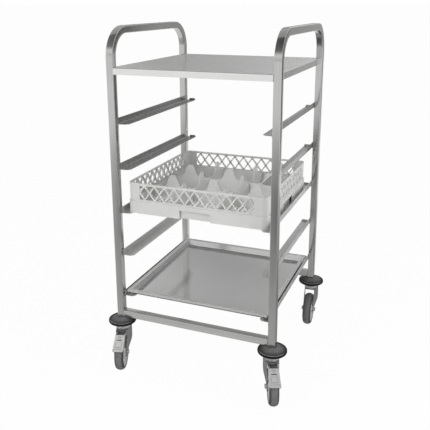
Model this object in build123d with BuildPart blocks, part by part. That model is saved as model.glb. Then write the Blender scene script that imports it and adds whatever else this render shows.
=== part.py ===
from build123d import *
import os
from math import cos, hypot, radians, sin

# Dishwasher rack trolley in stainless steel, with one dish rack and a drip tray.
# Millimetres, Z up, front towards -Y. The origin is on the floor, under the middle of the frame.

# Dish rack, which sets the width and depth of the trolley
rack_size = 500.0
rack_height = 107.0
rack_corner = 22.0
rack_level = 3  # the rail pair it lies on, counted from the lowest
rack_play = 16.0  # to the upstand of each rail
rack_rest_width = 19.0  # of each rail under the rack
rack_front_room = 12.0  # to the front ends of the rails
rack_back_room = 46.5  # to the stops at the back of the rails
rack_skirt_height = 44.0
rack_skirt_step = 3.0
rack_skirt_depth = 13.0
rack_wall = 3.0
rack_lattice_depth = 3.0  # of the walls above the skirt
rack_rim_height = 7.0
rack_rim_step = 1.0
rack_floor_lift = 5.0
rack_floor_thickness = 4.0
rack_floor_holes = 9  # each way
rack_floor_bar = 5.0
handhold_width = 110.0
handhold_height = 29.0
lattice_cells = 11
lattice_margin = 46.5  # from the corners of the rack
lattice_sill = 6.0
lattice_bar = 4.6

# Divider plates in the rack
compartments = 3  # each way
divider_sheet = 2.6
divider_valley = 49.0
divider_peak = 95.5
divider_peak_base = 62.0
divider_peak_tip = 13.0
divider_peak_round = 6.5
divider_foot_round = 13.0
divider_end_play = 0.6
divider_slot_play = 0.15

# Rack rails
rail_pairs = 5
rail_pitch = 155.0
rail_lift = 80.4  # of the lowest pair above the feet of the posts
rail_sheet = 1.5
rail_upstand = 20.0
rail_fold = 3.0
rail_front_inset = 17.5  # from the front of the posts
rail_rear_inset = 7.5
rail_corner_cut = 10.0
rail_stop_height = 7.0
rail_stop_width = 26.0

# Side frames: one square tube each, bent into posts and handle
frame_rise = 1016.4  # of the handles above the feet of the posts
tube = 25.0
tube_wall = 1.2
tube_corner = 1.8
handle_bend = 87.5  # radius of the tube's centre line
cross_tube_lift = 3.0  # from the feet of the posts

# Top shelf: a folded sheet, notched round the posts
handle_rise = 130.0  # of the handles above the shelf
shelf_sheet = 1.2
shelf_apron = 22.0
shelf_fold = 2.5
shelf_side_inset = 11.0  # from the outer sides of the posts

# Drip tray on the lowest rails
tray_height = 20.0
tray_sheet = 1.2
tray_flange = 12.0
tray_lip = 6.0
tray_lean = 7.0  # of the walls, from floor to rim
tray_play = 7.0  # to the upstand of each rail
tray_front_room = 1.0
tray_back_room = 33.0

# Castors
wheel_diameter = 125.0
tyre_width = 32.0
tyre_thickness = 12.5
tyre_shoulder_drop = 9.0
tyre_shoulder_reach = 9.0
hub_rim_width = 29.0
hub_boss_diameter = 36.0
axle_diameter = 8.0
axle_head_flats = 13.0
axle_head_height = 6.5
bush_wall = 2.5
castor_trail = 42.0
fork_gap = 36.0  # between the legs at the axle
fork_sheet = 2.5
fork_fold = 3.5
fork_end_radius = 15.0
crown_width = 55.0  # at the back, from where the legs draw in towards the axle
crown_clearance = 13.0  # above the tyre
crown_reach_back = 27.0
crown_reach_front = 26.0
fork_shoulder_drop = 58.0  # from the crown to the widest point of the legs
fork_shoulder_radius = 20.0
kingpin_diameter = 12.0
kingpin_head_diameter = 20.0
kingpin_head_height = 4.0
swivel_bearing_height = 4.5
swivel_bearing_width = 9.0
swivel_head_diameter = 50.0
swivel_head_height = 6.0
stem_length = 75.0
plug_length = 40.0
bumper_diameter = 98.0
bumper_height = 32.0
bumper_rim_height = 10.5
bumper_rim_drop = 10.0  # from the feet of the posts
bumper_hub_diameter = 40.0
bumper_web = 3.0
bumper_bead = 4.0
bumper_bead_height = 0.8
front_left_turn = 19.0  # degrees, from a wheel that trails to the front
front_right_turn = 22.0
rear_left_turn = 204.0
rear_right_turn = 4.0

# Foot brakes on the front castors
pedal_sheet = 2.5
pedal_pin_diameter = 5.0
pedal_pin_proud = 1.8
pedal_pin_reach = 20.0  # in front of the kingpin
pedal_pin_drop = 7.0  # under the crown
pedal_eye_wall = 2.0
pedal_ridge_reach = 48.0
pedal_ridge_gap = 13.0  # above the tyre
pedal_plate_length = 52.0  # level distance from ridge to fold
pedal_plate_fall = 31.0
pedal_lip = 9.5
pedal_lip_fall = 3.5
pedal_fillet = 3.0
pedal_root_width = 33.0
pedal_fold_width = 37.0
pedal_lip_width = 43.0
shoe_gap = 3.6
shoe_width = 22.0
shoe_angle = 70.0  # degrees up from level, about the axle
shoe_arc = 16.0

# Clearances
running_play = 0.05
flat_play = 0.3
slide_play = 0.2

# Places worked out from the sizes above
inner_x = rack_size / 2 + rack_play + rail_sheet
post_x = inner_x + tube / 2
rail_length = rack_front_room + rack_size + rack_back_room + rail_sheet
frame_depth = rail_front_inset + rail_length + rail_rear_inset
post_y = (frame_depth - tube) / 2
inner_y = post_y - tube / 2
rail_front = rail_front_inset - frame_depth / 2
rail_rear = rail_front + rail_length
rail_edge = rack_size / 2 - rack_rest_width
wheel_radius = wheel_diameter / 2
hub_radius = wheel_radius - tyre_thickness
hub_length = fork_gap - 4 * flat_play
fork_half = fork_gap / 2 + fork_sheet
crown_under = wheel_diameter + crown_clearance
crown_top = crown_under + fork_sheet
swivel_head_under = crown_top + swivel_bearing_height + 2 * flat_play
swivel_head_top = swivel_head_under + swivel_head_height
post_foot = swivel_head_top + bumper_height
frame_height = post_foot + frame_rise
shelf_top = frame_height - handle_rise
lowest_rail = post_foot + rail_lift
pin_height = crown_under - pedal_pin_drop
pin_half = fork_half + pedal_pin_proud
rack_inner = rack_size / 2 - rack_skirt_depth
rack_floor = rack_floor_lift + rack_floor_thickness
rack_bottom = lowest_rail + (rack_level - 1) * rail_pitch + slide_play
rack_middle = rail_front + rack_front_room + rack_size / 2
lattice_pitch = (rack_size - 2 * lattice_margin) / lattice_cells
lattice_height = rack_height - rack_rim_height - rack_skirt_height - lattice_sill
divider_pitch = 2 * rack_inner / compartments


def save(piece, label):
    piece.label = label
    export_step(piece, f"parts/{label}.step")


# Frame

def tube_section():
    # Section of the square tube, for the sketch that is open.
    Rectangle(tube, tube)
    chamfer(vertices(), length=tube_corner)
    bore = tube - 2 * tube_wall
    Rectangle(bore, bore, mode=Mode.SUBTRACT)


def side_frame(x):
    handle = frame_height - tube / 2
    with BuildPart() as frame:
        with BuildLine(Plane.YZ.offset(x)):
            FilletPolyline(
                (-post_y, post_foot),
                (-post_y, handle),
                (post_y, handle),
                (post_y, post_foot),
                radius=handle_bend,
            )
        with BuildSketch(Plane((x, -post_y, post_foot))):
            tube_section()
        sweep()
    return frame.part


def cross_tube(y):
    middle = post_foot + cross_tube_lift + tube / 2
    with BuildPart() as bar:
        with BuildSketch(Plane(origin=(0, y, middle), x_dir=(0, 1, 0), z_dir=(1, 0, 0))):
            tube_section()
        extrude(amount=inner_x, both=True)
    return bar.part


def top_shelf():
    side = inner_x + tube - shelf_side_inset
    with BuildPart() as shelf:
        with BuildSketch(Plane.XY.offset(shelf_top)):
            Rectangle(2 * side, 2 * inner_y)
            Rectangle(2 * inner_x, frame_depth)
        extrude(amount=-shelf_apron)
        rim = shelf.faces().sort_by(Axis.Z)[-1].edges()
        folds = rim.group_by(Axis.X)[0] + rim.group_by(Axis.X)[-1]
        folds += rim.group_by(Axis.Y)[0] + rim.group_by(Axis.Y)[-1]
        fillet(folds, radius=shelf_fold)
        offset(amount=-shelf_sheet, openings=shelf.faces().sort_by(Axis.Z)[0])
    return shelf.part


def rail(side, level):
    # An L section, with its upstand on the inner faces of the posts and a stop at the back.
    flange_top = lowest_rail + (level - 1) * rail_pitch
    flange_middle = flange_top - rail_sheet / 2
    wall = side * (inner_x - rail_sheet / 2)
    edge = side * rail_edge
    with BuildPart() as angle:
        with BuildSketch(Plane.XZ.offset(-rail_rear)):
            with BuildLine():
                FilletPolyline(
                    (edge, flange_middle),
                    (wall, flange_middle),
                    (wall, flange_top + rail_upstand),
                    radius=rail_fold,
                )
            trace(line_width=rail_sheet)
        extrude(amount=rail_length)
        with BuildSketch(Plane.XY.offset(flange_top)):
            with BuildLine():
                Polyline(
                    (edge, rail_front),
                    (edge + side * rail_corner_cut, rail_front),
                    (edge, rail_front + rail_corner_cut),
                    close=True,
                )
            make_face()
        extrude(amount=-rail_sheet, mode=Mode.SUBTRACT)
        with BuildSketch(Plane.XZ.offset(-rail_rear)):
            with Locations((edge + side * rail_stop_width / 2, flange_top)):
                Rectangle(rail_stop_width, rail_stop_height, align=(Align.CENTER, Align.MIN))
            chamfer(vertices().group_by(Axis.Y)[-1], length=rail_fold)
        extrude(amount=rail_sheet)
    return angle.part


# Drip tray

def drip_tray():
    bottom = lowest_rail + slide_play
    width = 2 * (inner_x - rail_sheet - tray_play)
    depth = rail_length - tray_front_room - tray_back_room
    middle = rail_front + tray_front_room + depth / 2
    mouth_width = width - 2 * tray_flange
    mouth_depth = depth - 2 * tray_flange
    floor_width = mouth_width - 2 * tray_lean
    floor_depth = mouth_depth - 2 * tray_lean
    rim = Plane((0, middle, bottom + tray_height))
    with BuildPart() as tray:
        with BuildSketch(Plane((0, middle, bottom))):
            Rectangle(floor_width, floor_depth)
        with BuildSketch(rim):
            Rectangle(mouth_width, mouth_depth)
        loft(ruled=True)
        with BuildSketch(rim):
            Rectangle(width, depth)
        extrude(amount=-tray_sheet)
        with BuildSketch(rim):
            Rectangle(width, depth)
            Rectangle(width - 2 * tray_sheet, depth - 2 * tray_sheet, mode=Mode.SUBTRACT)
        extrude(amount=-tray_lip)
        with BuildSketch(Plane((0, middle, bottom + tray_sheet))):
            Rectangle(floor_width - 2 * tray_sheet, floor_depth - 2 * tray_sheet)
        with BuildSketch(rim):
            Rectangle(mouth_width - 2 * tray_sheet, mouth_depth - 2 * tray_sheet)
        loft(ruled=True, mode=Mode.SUBTRACT)
    return tray.part


# Dish rack

def lattice_holes():
    # Diamonds and half diamonds between crossing bars, for the sketch that is open.
    # The middle of the band is where the open location is.
    half = lattice_pitch / 2
    rise = lattice_height / 2
    slant = hypot(half, rise)
    narrow = half - lattice_bar / 2 * slant / rise
    tip = lattice_bar / 2 * slant / half
    end = lattice_cells * half
    with GridLocations(lattice_pitch, 1, lattice_cells, 1):
        Polygon((narrow, 0), (0, rise - tip), (-narrow, 0), (0, tip - rise), align=None)
    with GridLocations(lattice_pitch, 1, lattice_cells - 1, 1):
        Polygon((-narrow, rise), (0, tip), (narrow, rise), align=None)
        Polygon((-narrow, -rise), (narrow, -rise), (0, -tip), align=None)
    for side in (-1, 1):
        corner = side * (end - narrow)
        Polygon((side * end, tip), (side * end, rise), (corner, rise), align=None)
        Polygon((side * end, -tip), (side * end, -rise), (corner, -rise), align=None)


def rack_side(turn):
    # Upright plane through the middle of the rack that faces one of its four sides.
    angle = radians(90 * turn)
    return Plane(
        origin=(0, rack_middle, rack_bottom),
        x_dir=(cos(angle), sin(angle), 0),
        z_dir=(sin(angle), -cos(angle), 0),
    )


def rack_base():
    upper = rack_size - 2 * rack_skirt_step
    upper_corner = rack_corner - rack_skirt_step
    rim = upper + 2 * rack_rim_step
    well = upper - 2 * rack_lattice_depth
    skirt_well = 2 * rack_inner
    skirt_well_corner = rack_corner - rack_skirt_depth
    channel_outer = rack_size - 2 * rack_wall
    channel_inner = skirt_well + 2 * rack_wall
    lattice_middle = rack_height - rack_rim_height - lattice_height / 2
    floor_pitch = (skirt_well - rack_floor_bar) / rack_floor_holes
    floor_hole = floor_pitch - rack_floor_bar
    base = Plane((0, rack_middle, rack_bottom))
    with BuildPart() as rack:
        with BuildSketch(base):
            RectangleRounded(rack_size, rack_size, rack_corner)
        extrude(amount=rack_skirt_height)
        with BuildSketch(base.offset(rack_skirt_height)):
            RectangleRounded(upper, upper, upper_corner)
        extrude(amount=rack_height - rack_skirt_height)
        with BuildSketch(base.offset(rack_height)):
            RectangleRounded(rim, rim, upper_corner + rack_rim_step)
        extrude(amount=-rack_rim_height)
        # The well, wider above the skirt
        with BuildSketch(base.offset(rack_skirt_height)):
            RectangleRounded(well, well, upper_corner - rack_lattice_depth)
        extrude(amount=rack_height - rack_skirt_height, mode=Mode.SUBTRACT)
        with BuildSketch(base.offset(rack_floor)):
            RectangleRounded(skirt_well, skirt_well, skirt_well_corner)
        extrude(amount=rack_height - rack_floor, mode=Mode.SUBTRACT)
        # The channel under the skirt and the recess under the floor
        with BuildSketch(base):
            RectangleRounded(channel_outer, channel_outer, rack_corner - rack_wall)
            RectangleRounded(channel_inner, channel_inner, skirt_well_corner + rack_wall, mode=Mode.SUBTRACT)
        extrude(amount=rack_skirt_height - rack_wall, mode=Mode.SUBTRACT)
        with BuildSketch(base):
            RectangleRounded(skirt_well, skirt_well, skirt_well_corner)
        extrude(amount=rack_floor_lift, mode=Mode.SUBTRACT)
        with BuildSketch(base):
            with GridLocations(floor_pitch, floor_pitch, rack_floor_holes, rack_floor_holes):
                Rectangle(floor_hole, floor_hole)
        extrude(amount=rack_floor, mode=Mode.SUBTRACT)
        # Lattice through both walls of each pair
        for turn in range(2):
            with BuildSketch(rack_side(turn)):
                with Locations((0, lattice_middle)):
                    lattice_holes()
            extrude(amount=rack_size, both=True, mode=Mode.SUBTRACT)
        # Handholds through the outer wall of the skirt
        for turn in range(4):
            with BuildSketch(rack_side(turn).offset(rack_inner + rack_wall)):
                Rectangle(handhold_width, handhold_height, align=(Align.CENTER, Align.MIN))
            extrude(amount=rack_skirt_depth, mode=Mode.SUBTRACT)
    return rack.part


def divider_plates(across):
    # Upright plates with a bell-shaped peak in each compartment, slotted where they cross the others.
    half = rack_inner - divider_end_play
    base = divider_peak_base / 2
    tip = divider_peak_tip / 2
    slot = divider_sheet + 2 * divider_slot_play
    slot_height = (divider_valley - rack_floor) / 2
    slot_foot = rack_floor + slot_height if across else rack_floor
    crossings = [divider_pitch * (i + 1 - compartments / 2) for i in range(compartments - 1)]
    outline = [(-half, rack_floor), (-half, divider_valley)]
    for i in range(compartments):
        peak = divider_pitch * (i + 0.5 - compartments / 2)
        outline += [(peak - base, divider_valley), (peak - tip, divider_peak)]
        outline += [(peak + tip, divider_peak), (peak + base, divider_valley)]
    outline += [(half, divider_valley), (half, rack_floor)]
    middle = Plane(
        origin=(0, rack_middle, rack_bottom),
        x_dir=(0, 1, 0) if across else (-1, 0, 0),
        z_dir=(1, 0, 0) if across else (0, 1, 0),
    )
    with BuildPart() as plates:
        for place in crossings:
            with BuildSketch(middle.offset(place)):
                Polygon(*outline, align=None)
                fillet(vertices().group_by(Axis.Y)[-1], radius=divider_peak_round)
                feet = vertices().filter_by_position(Axis.Y, divider_valley - 1, divider_valley + 1)
                fillet(feet.filter_by_position(Axis.X, 1 - half, half - 1), radius=divider_foot_round)
                with Locations(*[(crossing, slot_foot) for crossing in crossings]):
                    Rectangle(slot, slot_height, align=(Align.CENTER, Align.MIN), mode=Mode.SUBTRACT)
            extrude(amount=divider_sheet / 2, both=True)
    return plates.part


# Castors: each is drawn on a level plane whose origin is on the floor under the swivel
# and whose -Y points the way the wheel trails.

def castor_plane(x, y, turn):
    return Plane(origin=(x, y, 0), x_dir=(cos(radians(turn)), sin(radians(turn)), 0), z_dir=(0, 0, 1))


def across_plane(base, y, z):
    # Upright plane: X along the axle, Y up.
    return Plane(origin=base.from_local_coords((0, y, z)), x_dir=base.x_dir, z_dir=-base.y_dir)


def length_plane(base, y=0, z=0):
    # Upright plane through the middle of the wheel: X towards the back of the castor, Y up.
    return Plane(origin=base.from_local_coords((0, y, z)), x_dir=base.y_dir, z_dir=base.x_dir)


def tube_plug(base):
    side = tube - 2 * tube_wall - 2 * running_play
    with BuildPart() as plug:
        with BuildSketch(Plane((base.origin.X, base.origin.Y, post_foot))):
            Rectangle(side, side)
            Circle(kingpin_diameter / 2 + running_play, mode=Mode.SUBTRACT)
        extrude(amount=plug_length)
    return plug.part


def bumper(base):
    # A shallow rubber saucer with a bead round its rim, hollow underneath.
    rim = bumper_diameter / 2
    rim_top = post_foot - bumper_rim_drop
    rim_under = rim_top - bumper_rim_height
    hub = bumper_hub_diameter / 2
    hole = kingpin_diameter / 2 + running_play
    with BuildPart() as saucer:
        with BuildSketch(across_plane(base, 0, 0)):
            Polygon(
                (hole, swivel_head_top),
                (hub, swivel_head_top),
                (hub, rim_under + bumper_web),
                (rim - bumper_web, rim_under + bumper_web),
                (rim - bumper_web, rim_under),
                (rim, rim_under),
                (rim, rim_top),
                (rim - bumper_bead, rim_top),
                (rim - bumper_bead, rim_top - bumper_bead_height),
                (hub, post_foot),
                (hole, post_foot),
                align=None,
            )
        revolve(axis=Axis(base.origin, (0, 0, 1)))
    return saucer.part


def swivel_head(base):
    # Kingpin, head and stem, turned in one piece.
    pin = kingpin_diameter / 2
    rivet = kingpin_head_diameter / 2
    rivet_top = crown_under - flat_play
    head = swivel_head_diameter / 2
    stem_top = swivel_head_top + stem_length
    with BuildPart() as swivel:
        with BuildSketch(across_plane(base, 0, 0)):
            Polygon(
                (0, rivet_top - kingpin_head_height),
                (rivet, rivet_top - kingpin_head_height),
                (rivet, rivet_top),
                (pin, rivet_top),
                (pin, swivel_head_under),
                (head, swivel_head_under),
                (head, swivel_head_top),
                (pin, swivel_head_top),
                (pin, stem_top),
                (0, stem_top),
                align=None,
            )
        revolve(axis=Axis(base.origin, (0, 0, 1)))
    return swivel.part


def swivel_bearing(base):
    outer = swivel_head_diameter / 2 - flat_play
    with BuildPart() as ring:
        with BuildSketch(base.offset(crown_top + flat_play)):
            Circle(outer)
            Circle(outer - swivel_bearing_width, mode=Mode.SUBTRACT)
        extrude(amount=swivel_bearing_height)
    return ring.part


def fork(base, braked):
    # A folded channel whose legs draw in from the back of the crown, trimmed to their outline.
    foot = wheel_radius - fork_end_radius
    shoulder = crown_top - fork_shoulder_drop
    front = castor_trail + fork_end_radius
    back = fork_end_radius - castor_trail
    crown_half = crown_width / 2
    with BuildPart() as channel:
        with BuildSketch(base.offset(foot)):
            Polygon(
                (-crown_half, crown_reach_back),
                (-fork_half, back),
                (-fork_half, -front),
                (fork_half, -front),
                (fork_half, back),
                (crown_half, crown_reach_back),
                align=None,
            )
        extrude(amount=crown_top - foot)
        with BuildSketch(base.offset(foot)):
            Polygon(
                (fork_sheet - crown_half, crown_reach_back),
                (-fork_gap / 2, back),
                (-fork_gap / 2, -front),
                (fork_gap / 2, -front),
                (fork_gap / 2, back),
                (crown_half - fork_sheet, crown_reach_back),
                align=None,
            )
        extrude(amount=crown_under - foot, mode=Mode.SUBTRACT)
        with BuildSketch(length_plane(base)):
            with BuildLine():
                Polyline(
                    (-front, wheel_radius),
                    (-crown_reach_front, crown_under),
                    (-crown_reach_front, crown_top),
                    (crown_reach_back, crown_top),
                    (crown_reach_back, shoulder),
                    (back, wheel_radius),
                )
                ThreePointArc((back, wheel_radius), (-castor_trail, foot), (-front, wheel_radius))
            make_face()
            bulge = vertices().sort_by_distance((crown_reach_back, shoulder))[0]
            fillet(bulge, radius=fork_shoulder_radius)
        extrude(amount=crown_half, both=True, mode=Mode.INTERSECT)
        crown_edges = channel.faces().sort_by(Axis.Z)[-1].edges()
        across = Axis(base.origin, base.x_dir)
        fillet([crown_edges.sort_by(across)[0], crown_edges.sort_by(across)[-1]], radius=fork_fold)
        with BuildSketch(base.offset(crown_under)):
            Circle(kingpin_diameter / 2 + running_play)
        extrude(amount=fork_sheet, mode=Mode.SUBTRACT)
        with BuildSketch(length_plane(base, -castor_trail, wheel_radius)):
            Circle(axle_diameter / 2 + running_play)
        extrude(amount=crown_half, both=True, mode=Mode.SUBTRACT)
        if braked:
            with BuildSketch(length_plane(base, -pedal_pin_reach, pin_height)):
                Circle(pedal_pin_diameter / 2 + running_play)
            extrude(amount=crown_half, both=True, mode=Mode.SUBTRACT)
    return channel.part


def axle(base):
    # Bolt through both legs, with its nut on the far side.
    middle = length_plane(base, -castor_trail, wheel_radius)
    bolt_end = fork_half + axle_head_height
    with BuildPart() as bolt:
        with BuildSketch(middle.offset(-bolt_end)):
            Circle(axle_diameter / 2)
        extrude(amount=bolt_end + fork_half)
        with BuildSketch(middle.offset(fork_half)):
            RegularPolygon(axle_head_flats / 2, 6, major_radius=False)
        extrude(amount=axle_head_height)
    with BuildPart() as nut:
        with BuildSketch(middle.offset(-bolt_end)):
            RegularPolygon(axle_head_flats / 2, 6, major_radius=False)
            Circle(axle_diameter / 2 + running_play, mode=Mode.SUBTRACT)
        extrude(amount=axle_head_height)
    return Compound(children=[bolt.part, nut.part])


def bush(base):
    bore = axle_diameter / 2 + running_play
    with BuildPart() as sleeve:
        with BuildSketch(length_plane(base, -castor_trail, wheel_radius)):
            Circle(bore + bush_wall)
            Circle(bore, mode=Mode.SUBTRACT)
        extrude(amount=hub_length / 2, both=True)
    return sleeve.part


def hub(base):
    bore = axle_diameter / 2 + 2 * running_play + bush_wall
    middle = length_plane(base, -castor_trail, wheel_radius)
    with BuildPart() as centre:
        with BuildSketch(middle):
            Circle(hub_radius)
        extrude(amount=hub_rim_width / 2, both=True)
        with BuildSketch(middle):
            Circle(hub_boss_diameter / 2)
        extrude(amount=hub_length / 2, both=True)
        with BuildSketch(middle):
            Circle(bore)
        extrude(amount=hub_length / 2, both=True, mode=Mode.SUBTRACT)
    return centre.part


def tyre(base):
    bore = hub_radius + running_play
    half = tyre_width / 2
    tread = half - tyre_shoulder_reach
    shoulder = wheel_radius - tyre_shoulder_drop
    with BuildPart() as band:
        with BuildSketch(across_plane(base, -castor_trail, wheel_radius)):
            Polygon(
                (-half, bore),
                (-half, shoulder),
                (-tread, wheel_radius),
                (tread, wheel_radius),
                (half, shoulder),
                (half, bore),
                align=None,
            )
        revolve(axis=Axis(base.from_local_coords((0, -castor_trail, wheel_radius)), base.x_dir))
    return band.part


# Foot brakes

def shoe_point(angle, radius):
    # On the length plane, at an angle up from level about the axle.
    return (-castor_trail - radius * cos(radians(angle)), wheel_radius + radius * sin(radians(angle)))


def brake_pin(base):
    with BuildPart() as pin:
        with BuildSketch(length_plane(base, -pedal_pin_reach, pin_height)):
            Circle(pedal_pin_diameter / 2)
        extrude(amount=pin_half, both=True)
    return pin.part


def brake_pedal(base):
    # A plate bent over the tyre, with an eye round the pin, a shoe underneath and a turned-out lip.
    upright = length_plane(base)
    pin = (-pedal_pin_reach, pin_height)
    ridge = (-pedal_ridge_reach, wheel_diameter + pedal_ridge_gap)
    fold = (ridge[0] - pedal_plate_length, ridge[1] - pedal_plate_fall)
    lip = (fold[0] - pedal_lip, fold[1] - pedal_lip_fall)
    lip_edge = lip[0] - pedal_sheet
    eye = pedal_pin_diameter / 2 + running_play
    shoe_face = wheel_radius + shoe_gap
    shoe_heel = shoe_angle + shoe_arc / 2
    shoe_toe = shoe_angle - shoe_arc / 2
    shoe_back = shoe_face + pedal_ridge_gap
    with BuildPart() as pedal:
        with BuildSketch(upright):
            with BuildLine():
                FilletPolyline(pin, ridge, fold, lip, radius=pedal_fillet)
            trace(line_width=pedal_sheet)
        extrude(amount=pedal_lip_width / 2, both=True)
        with BuildSketch(base):
            Polygon(
                (-pedal_root_width / 2, pin[0]),
                (pedal_root_width / 2, pin[0]),
                (pedal_fold_width / 2, fold[0]),
                (pedal_lip_width / 2, fold[0] - pedal_sheet),
                (pedal_lip_width / 2, lip_edge),
                (-pedal_lip_width / 2, lip_edge),
                (-pedal_lip_width / 2, fold[0] - pedal_sheet),
                (-pedal_fold_width / 2, fold[0]),
                align=None,
            )
        extrude(amount=post_foot, mode=Mode.INTERSECT)
        with BuildSketch(upright):
            with Locations(pin):
                Circle(eye + pedal_eye_wall)
        extrude(amount=pedal_root_width / 2, both=True)
        with BuildSketch(upright):
            with BuildLine():
                face = ThreePointArc(
                    shoe_point(shoe_heel, shoe_face),
                    shoe_point(shoe_angle, shoe_face),
                    shoe_point(shoe_toe, shoe_face),
                )
                back = ThreePointArc(
                    shoe_point(shoe_toe, shoe_back),
                    shoe_point(shoe_angle, shoe_back),
                    shoe_point(shoe_heel, shoe_back),
                )
                Line(face @ 1, back @ 0)
                Line(back @ 1, face @ 0)
            make_face()
            Polygon(ridge, fold, (fold[0], post_foot), (ridge[0], post_foot), align=None, mode=Mode.SUBTRACT)
        extrude(amount=shoe_width / 2, both=True)
        with BuildSketch(upright):
            with Locations(pin):
                Circle(eye)
        extrude(amount=pedal_lip_width / 2, both=True, mode=Mode.SUBTRACT)
    return pedal.part


os.makedirs("parts", exist_ok=True)

save(side_frame(-post_x), "left_side_frame")
save(side_frame(post_x), "right_side_frame")
save(cross_tube(-post_y), "front_cross_tube")
save(cross_tube(post_y), "rear_cross_tube")
save(top_shelf(), "top_shelf")
for level in range(1, rail_pairs + 1):
    save(rail(-1, level), f"left_rail_{level}")
    save(rail(1, level), f"right_rail_{level}")
save(drip_tray(), "drip_tray")
save(rack_base(), "rack_base")
save(divider_plates(False), "rack_long_dividers")
save(divider_plates(True), "rack_cross_dividers")

castors = {
    "fl": castor_plane(-post_x, -post_y, front_left_turn),
    "fr": castor_plane(post_x, -post_y, front_right_turn),
    "rl": castor_plane(-post_x, post_y, rear_left_turn),
    "rr": castor_plane(post_x, post_y, rear_right_turn),
}
braked = ("fl", "fr")
for corner, place in castors.items():
    save(tube_plug(place), f"{corner}_tube_plug")
    save(bumper(place), f"{corner}_bumper")
    save(swivel_head(place), f"{corner}_swivel_head")
    save(swivel_bearing(place), f"{corner}_swivel_bearing")
    save(fork(place, corner in braked), f"{corner}_fork")
    save(axle(place), f"{corner}_axle")
    save(bush(place), f"{corner}_bush")
    save(hub(place), f"{corner}_hub")
    save(tyre(place), f"{corner}_tyre")
    if corner in braked:
        save(brake_pin(place), f"{corner}_brake_pin")
        save(brake_pedal(place), f"{corner}_brake_pedal")
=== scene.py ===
import bmesh
import bpy
import numpy as np
from mathutils import Matrix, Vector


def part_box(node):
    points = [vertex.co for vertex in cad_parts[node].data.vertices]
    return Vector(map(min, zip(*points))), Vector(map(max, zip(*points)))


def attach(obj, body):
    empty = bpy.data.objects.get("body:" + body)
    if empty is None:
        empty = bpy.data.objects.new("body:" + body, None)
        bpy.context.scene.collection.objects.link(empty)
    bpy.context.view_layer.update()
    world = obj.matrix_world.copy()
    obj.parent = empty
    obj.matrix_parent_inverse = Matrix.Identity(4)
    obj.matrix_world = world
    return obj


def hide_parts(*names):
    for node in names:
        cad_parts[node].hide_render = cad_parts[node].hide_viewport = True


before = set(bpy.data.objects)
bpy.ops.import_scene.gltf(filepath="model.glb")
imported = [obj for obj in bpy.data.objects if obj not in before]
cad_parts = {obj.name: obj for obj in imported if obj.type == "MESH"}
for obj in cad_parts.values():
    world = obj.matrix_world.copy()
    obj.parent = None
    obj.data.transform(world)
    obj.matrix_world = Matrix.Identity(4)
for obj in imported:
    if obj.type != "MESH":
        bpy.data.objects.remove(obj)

scene = bpy.context.scene
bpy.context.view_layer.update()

mm = 0.001
post = 0.28  # from the trolley's middle to the middle of each post, along X and along Y, in metres
rackY = -0.013  # middle of the dish rack along Y
castors = {  # where each castor stands, and how far its wheel is turned, in degrees
    "fl": {"at": (-post, -post), "turn": 19.0, "word": "front_left"},
    "fr": {"at": (post, -post), "turn": 22.0, "word": "front_right"},
    "rl": {"at": (-post, post), "turn": 204.0, "word": "rear_left"},
    "rr": {"at": (post, post), "turn": 4.0, "word": "rear_right"},
}


def linearColour(hexValue):  # sRGB hex to the linear RGBA that a socket takes
    srgb = np.array([int(hexValue[i:i + 2], 16) for i in (1, 3, 5)]) / 255.0
    linear = np.where(srgb <= 0.04045, srgb / 12.92, ((srgb + 0.055) / 1.055) ** 2.4)
    return (*linear.tolist(), 1.0)


# One shader node, its settings by name and its inputs by link; a node as a link stands for its first output.
def addNode(tree, kind, settings=None, links=None):
    made = tree.nodes.new("ShaderNode" + kind)
    for key, value in (settings or {}).items():
        if isinstance(key, int) or key in made.inputs:
            made.inputs[key].default_value = value
        else:
            setattr(made, key, value)
    for key, source in (links or {}).items():
        socket = source.outputs[0] if isinstance(source, bpy.types.Node) else source
        tree.links.new(socket, made.inputs[key])
    return made


def newMaterial(name):
    material = bpy.data.materials.new(name)
    material.use_nodes = True
    material.node_tree.nodes.clear()
    return material, material.node_tree


noiseRange = {"From Min": 0.3, "From Max": 0.7}  # where most values of a noise lie
# Where a band is worn most is where its noise thins it most, for the bands of painted light and shade too.
leastBand = 0.68  # share of a band of colour that is left where it is worn most


def closeMaterial(tree, shader):
    addNode(tree, "OutputMaterial", links={"Surface": shader})
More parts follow.
